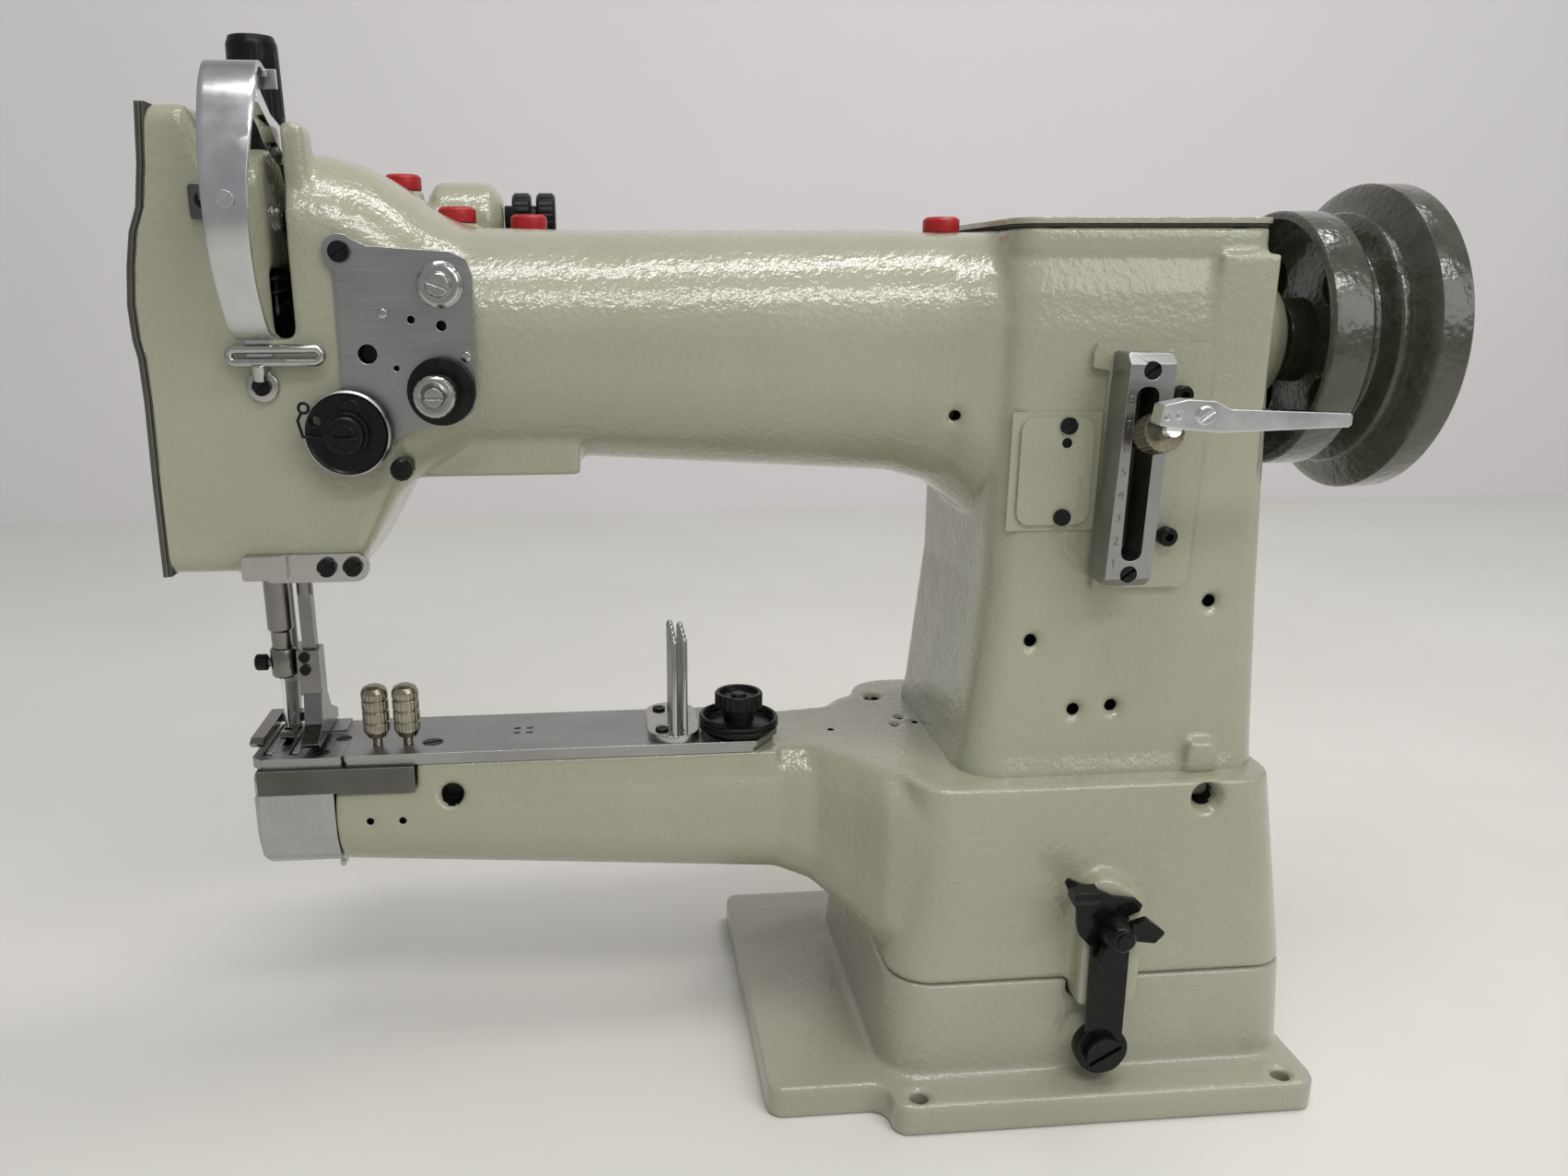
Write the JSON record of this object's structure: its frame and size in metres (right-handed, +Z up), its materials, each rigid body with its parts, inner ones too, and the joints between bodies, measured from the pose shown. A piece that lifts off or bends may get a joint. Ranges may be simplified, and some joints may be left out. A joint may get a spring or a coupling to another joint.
{
  "type": "leather sewing machine",
  "caption": "Cylinder-bed, compound-feed leather sewing machine on a low base, with handwheel, needle and presser bars, take-up, tensions, stitch lever and latch.",
  "frame": {"origin": "centre of the base's four mounting holes, on the underside of the base", "axes": "+X from the needle to the handwheel, -Y to the operator, +Z up"},
  "size_m": [0.4598, 0.1774, 0.3896],
  "materials": {
    "enamel": "gloss grey-green enamel with orange peel",
    "base_enamel": "gloss grey enamel",
    "hammertone": "dark grey-green hammertone",
    "satin_steel": "satin brushed",
    "chrome": "polished",
    "black_oxide": "black oxide",
    "dark_steel": "dark ground steel",
    "nickel_brass": "dull nickelled brass",
    "bronze": "plain",
    "gasket": "matte",
    "belt": "matte",
    "red_plastic": "gloss"
  },
  "bodies": {
    "machine_frame": {"arm_casting": "enamel", "base_casting": "base_enamel", "bed_casting": "enamel", "bed_cover_plate": "satin_steel", "bed_tension_stud_and_spring": "black_oxide", "bobbin_case": "satin_steel", "check_spring_disc": "black_oxide", "column_top_cover": "enamel", "cover_gaskets": "gasket", "faceplate": "dark_steel", "front_cover_plate": "enamel", "guide_posts": "nickel_brass", "latch_screw_and_stud": "black_oxide", "lower_head_bracket": "satin_steel", "needle_plate": "satin_steel", "needle_plate_carrier": "dark_steel", "oil_plugs": "red_plastic", "pin_plate_with_pins": "satin_steel", "rear_lift_rod": "black_oxide", "regulator_backing_plate": "enamel", "shaft_bushes_and_pin": "bronze", "slotted_screws": "black_oxide", "stitch_scale_block": "satin_steel", "take_up_guard": "satin_steel", "tension_discs_and_spring": "black_oxide", "tension_plate": "satin_steel", "tension_posts": "satin_steel", "thread_guide": "chrome", "timing_belt": "belt", "presser_spring": "satin_steel"},
    "main_shaft_unit": {"main_shaft": "satin_steel", "handwheel": "hammertone", "needle_crank": "satin_steel", "upper_sprocket": "satin_steel"},
    "crank_link_unit": {"crank_link": "satin_steel"},
    "lower_shaft_unit": {"lower_shaft": "satin_steel", "lower_sprocket": "satin_steel"},
    "hook_unit": {"rotary_hook": "satin_steel"},
    "bobbin_unit": {"bobbin": "satin_steel"},
    "hook_cover_unit": {"hook_cover": "satin_steel"},
    "feed_bar_unit": {"feed_bar": "satin_steel"},
    "feed_dog_unit": {"feed_dog": "satin_steel"},
    "needle_frame_unit": {"needle_bar_frame": "satin_steel"},
    "needle_bar_unit": {"needle_bar": "chrome", "needle_clamp": "satin_steel", "needle": "chrome"},
    "inner_foot_unit": {"inner_foot": "satin_steel"},
    "presser_unit": {"presser_bar": "satin_steel", "outer_foot": "satin_steel"},
    "pressure_knob_unit": {"pressure_knob": "black_oxide"},
    "presser_lift_unit": {"presser_lift_lever": "satin_steel"},
    "take_up_unit": {"take_up_lever": "chrome"},
    "check_spring_unit": {"check_spring": "black_oxide"},
    "tension_nut_unit": {"tension_nut": "satin_steel"},
    "bed_tension_knob_unit": {"bed_tension_knob": "black_oxide"},
    "thumbscrew_unit": {"head_thumbscrew": "black_oxide"},
    "stitch_lever_unit": {"stitch_lever": "chrome"},
    "lock_nut_unit": {"stitch_lock_nut": "nickel_brass"},
    "latch_arm_unit": {"latch_arm": "black_oxide"},
    "wing_nut_unit": {"wing_nut": "black_oxide"}
  },
  "joints": [
    {"name": "main_shaft_spin", "type": "hinge", "parent": "machine_frame", "child": "main_shaft_unit", "pos_m": [0, 0, 0.287], "axis": [1, 0, 0], "continuous": true},
    {"name": "crank_link_turn", "type": "hinge", "parent": "main_shaft_unit", "child": "crank_link_unit", "pos_m": [-0.28, -0.016, 0.287], "axis": [1, 0, 0], "continuous": true},
    {"name": "lower_shaft_spin", "type": "hinge", "parent": "machine_frame", "child": "lower_shaft_unit", "pos_m": [0, 0, 0.07425], "axis": [1, 0, 0], "continuous": true},
    {"name": "hook_spin", "type": "hinge", "parent": "machine_frame", "child": "hook_unit", "pos_m": [0, 0, 0.108], "axis": [1, 0, 0], "continuous": true},
    {"name": "bobbin_spin", "type": "hinge", "parent": "machine_frame", "child": "bobbin_unit", "pos_m": [-0.305, 0, 0.108], "axis": [1, 0, 0], "continuous": true},
    {"name": "hook_cover_open", "type": "hinge", "parent": "machine_frame", "child": "hook_cover_unit", "pos_m": [-0.2918, 0, 0.086], "axis": [0, 1, 0], "range_deg": [-95, 0]},
    {"name": "feed_stroke", "type": "slide", "parent": "machine_frame", "child": "feed_bar_unit", "axis": [0, 1, 0], "range_m": [-0.003, 0.003]},
    {"name": "feed_lift", "type": "slide", "parent": "feed_bar_unit", "child": "feed_dog_unit", "axis": [0, 0, 1], "range_m": [-0.0014, 0.0012]},
    {"name": "needle_frame_rock", "type": "hinge", "parent": "machine_frame", "child": "needle_frame_unit", "pos_m": [-0.318, 0, 0.34], "axis": [1, 0, 0], "range_deg": [-0.8, 0.8]},
    {"name": "needle_bar_stroke", "type": "slide", "parent": "needle_frame_unit", "child": "needle_bar_unit", "axis": [0, 0, 1], "range_m": [-0.016, 0.016]},
    {"name": "inner_foot_lift", "type": "slide", "parent": "needle_frame_unit", "child": "inner_foot_unit", "axis": [0, 0, 1], "range_m": [0, 0.007]},
    {"name": "outer_foot_lift", "type": "slide", "parent": "machine_frame", "child": "presser_unit", "axis": [0, 0, 1], "range_m": [0, 0.01], "deforming": ["presser_spring"]},
    {"name": "pressure_knob_turn", "type": "hinge", "parent": "machine_frame", "child": "pressure_knob_unit", "pos_m": [-0.2985, 0, 0.37], "axis": [0, 0, 1], "continuous": true},
    {"name": "presser_lift_swing", "type": "hinge", "parent": "machine_frame", "child": "presser_lift_unit", "pos_m": [-0.288, 0.045, 0.236], "axis": [0, 1, 0], "range_deg": [0, 75]},
    {"name": "take_up_swing", "type": "hinge", "parent": "machine_frame", "child": "take_up_unit", "pos_m": [-0.287, -0.008, 0.33], "axis": [1, 0, 0], "range_deg": [0, 42]},
    {"name": "check_spring_swing", "type": "hinge", "parent": "machine_frame", "child": "check_spring_unit", "pos_m": [-0.2678, -0.052, 0.2618], "axis": [0, 1, 0], "range_deg": [-35, 12], "stiffness_Nm_per_rad": 0.002},
    {"name": "tension_nut_turn", "type": "hinge", "parent": "machine_frame", "child": "tension_nut_unit", "pos_m": [-0.2366, -0.066, 0.275], "axis": [0, 1, 0], "continuous": true},
    {"name": "bed_tension_turn", "type": "hinge", "parent": "machine_frame", "child": "bed_tension_knob_unit", "pos_m": [-0.1325, -0.008, 0.149], "axis": [0, 0, 1], "continuous": true},
    {"name": "thumbscrew_turn", "type": "hinge", "parent": "machine_frame", "child": "thumbscrew_unit", "pos_m": [-0.2506, -0.048, 0.2501], "axis": [0, 1, 0], "continuous": true},
    {"name": "stitch_lever_swing", "type": "hinge", "parent": "machine_frame", "child": "stitch_lever_unit", "pos_m": [-0.0025, -0.01, 0.246], "axis": [1, 0, 0], "range_deg": [-9, 34]},
    {"name": "lock_nut_turn", "type": "hinge", "parent": "stitch_lever_unit", "child": "lock_nut_unit", "pos_m": [-0.0025, -0.07236, 0.2604], "axis": [0, -0.9744, 0.225], "continuous": true},
    {"name": "latch_swing", "type": "hinge", "parent": "machine_frame", "child": "latch_arm_unit", "pos_m": [-0.0008, -0.076, 0.0275], "axis": [0, 1, 0], "range_deg": [-70, 0]},
    {"name": "wing_nut_turn", "type": "hinge", "parent": "machine_frame", "child": "wing_nut_unit", "pos_m": [-0.0008, -0.082, 0.0793], "axis": [0, 1, 0], "continuous": true}
  ],
  "couplings": [
    {"joint": "crank_link_turn", "follows": "main_shaft_spin", "ratio": -1},
    {"joint": "lower_shaft_spin", "follows": "main_shaft_spin", "ratio": 1},
    {"joint": "hook_spin", "follows": "main_shaft_spin", "ratio": -2}
  ]
}
